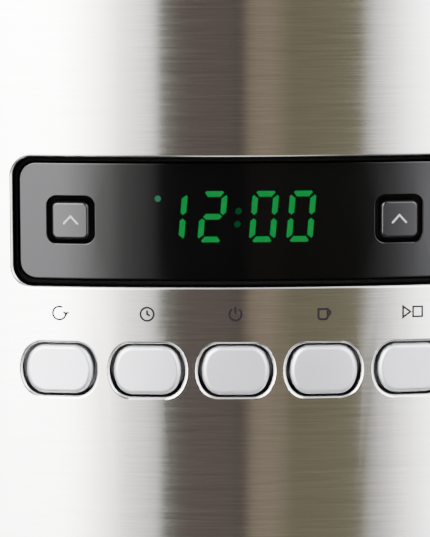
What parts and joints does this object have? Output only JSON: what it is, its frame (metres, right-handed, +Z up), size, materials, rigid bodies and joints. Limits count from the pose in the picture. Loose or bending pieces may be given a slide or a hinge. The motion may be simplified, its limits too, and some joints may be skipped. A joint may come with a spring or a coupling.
{
  "type": "drip coffee maker",
  "caption": "Programmable drip coffee maker with a bowed steel front, a clock window, oval push buttons, a rear water tank and a thermal carafe.",
  "frame": {"origin": "on the table under the middle of the machine's box, carafe handle included", "axes": "+Z up, the front with the controls faces -Y, +X to the right seen from the front"},
  "size_m": [0.22, 0.2938, 0.386],
  "materials": {
    "steel": "fine horizontal brushing",
    "black_plastic": "fine moulded texture",
    "dark_plastic": "satin",
    "gloss_black": "polished",
    "satin_black": "satin",
    "silver_caps": "satin silver coating",
    "rubber_parts": "matte",
    "bright_steel": "bright",
    "rest_steel": "spun",
    "carafe_steel": "brushed",
    "carafe_plastic": "satin",
    "cast_aluminium": "cast",
    "element_steel": "dull",
    "translucent": "frosted",
    "clear_window": "clear",
    "riser_plastic": "natural",
    "circuit_board": "solder mask",
    "electronics": "mixed",
    "filter_mesh": "fine woven mesh",
    "charcoal": "woven sleeve"
  },
  "bodies": {
    "machine": {"base_shell": "black_plastic", "base_plate": "dark_plastic", "rubber_feet": "rubber_parts", "case_screws": "bright_steel", "carafe_rest_plate": "rest_steel", "rest_plate_gasket": "rubber_parts", "boiler_casting": "cast_aluminium", "heating_element": "element_steel", "boiler_bracket": "bright_steel", "thermostat_and_fuses": "element_steel", "check_valve": "riser_plastic", "cold_hose": "rubber_parts", "hot_hose": "rubber_parts", "power_board": "circuit_board", "power_components": "electronics", "cord_gland": "dark_plastic", "tower_shell": "black_plastic", "level_window": "clear_window", "water_tank": "translucent", "filter_holder": "dark_plastic", "charcoal_cartridge": "charcoal", "riser_tube": "riser_plastic", "outlet_nozzle": "dark_plastic", "head_shell": "black_plastic", "head_deck": "dark_plastic", "brew_chamber": "dark_plastic", "brew_basket": "dark_plastic", "basket_handle": "dark_plastic", "mesh_filter": "filter_mesh", "drip_spring": "bright_steel", "front_steel_panel": "steel", "display_window": "gloss_black", "button_guide": "dark_plastic", "control_board": "circuit_board", "tactile_switches": "dark_plastic", "display_module": "dark_plastic", "board_screws": "bright_steel", "lid_hinge_pins": "bright_steel"},
    "lid": {"lid_cover": "black_plastic", "lid_channel": "dark_plastic", "channel_seal": "rubber_parts", "shower_head": "dark_plastic"},
    "drip_stop": {"drip_valve": "dark_plastic"},
    "filter_reset": {"filter_reset_button": "silver_caps"},
    "program": {"program_button": "silver_caps"},
    "auto_on": {"auto_on_button": "silver_caps"},
    "small_batch": {"small_batch_button": "silver_caps"},
    "start_stop": {"start_stop_button": "silver_caps"},
    "hour": {"hr_key": "satin_black"},
    "minute": {"min_key": "satin_black"},
    "carafe": {"carafe_outer_shell": "carafe_steel", "carafe_inner_shell": "carafe_steel", "carafe_base_ring": "carafe_plastic", "carafe_collar": "carafe_plastic", "carafe_handle": "carafe_plastic"},
    "pour_lid": {"carafe_lid": "carafe_plastic", "lid_gasket": "rubber_parts", "lever_pin": "bright_steel"},
    "lever": {"thumb_lever": "carafe_plastic", "pour_seal": "rubber_parts"}
  },
  "joints": [
    {"name": "lid_hinge", "type": "hinge", "parent": "machine", "child": "lid", "pos_m": [0, 0.118, 0.3802], "axis": [-1, 0, 0], "range_deg": [0, 90]},
    {"name": "drip_stop_lift", "type": "slide", "parent": "machine", "child": "drip_stop", "axis": [0, 0, 1], "range_m": [0, 0.004], "stiffness_N_per_m": 150, "springref_m": -0.002},
    {"name": "filter_reset_press", "type": "slide", "parent": "machine", "child": "filter_reset", "axis": [0, 1, 0], "range_m": [0, 0.0012], "stiffness_N_per_m": 800},
    {"name": "program_press", "type": "slide", "parent": "machine", "child": "program", "axis": [0, 1, 0], "range_m": [0, 0.0012], "stiffness_N_per_m": 800},
    {"name": "auto_on_press", "type": "slide", "parent": "machine", "child": "auto_on", "axis": [0, 1, 0], "range_m": [0, 0.0012], "stiffness_N_per_m": 800},
    {"name": "small_batch_press", "type": "slide", "parent": "machine", "child": "small_batch", "axis": [0, 1, 0], "range_m": [0, 0.0012], "stiffness_N_per_m": 800},
    {"name": "start_stop_press", "type": "slide", "parent": "machine", "child": "start_stop", "axis": [0, 1, 0], "range_m": [0, 0.0012], "stiffness_N_per_m": 800},
    {"name": "hour_press", "type": "slide", "parent": "machine", "child": "hour", "axis": [0, 1, 0], "range_m": [0, 0.0012], "stiffness_N_per_m": 800},
    {"name": "minute_press", "type": "slide", "parent": "machine", "child": "minute", "axis": [0, 1, 0], "range_m": [0, 0.0012], "stiffness_N_per_m": 800},
    {"name": "carafe_pull_out", "type": "slide", "parent": "machine", "child": "carafe", "axis": [0, -1, 0], "range_m": [0, 0.16]},
    {"name": "pour_lid_turn", "type": "hinge", "parent": "carafe", "child": "pour_lid", "pos_m": [0, -0.041, 0.205], "axis": [0, 0, 1], "range_deg": [0, 90]},
    {"name": "lever_press", "type": "hinge", "parent": "pour_lid", "child": "lever", "pos_m": [0, -0.073, 0.2095], "axis": [1, 0, 0], "range_deg": [0, 12], "stiffness_Nm_per_rad": 0.05, "springref_deg": -11.46}
  ]
}
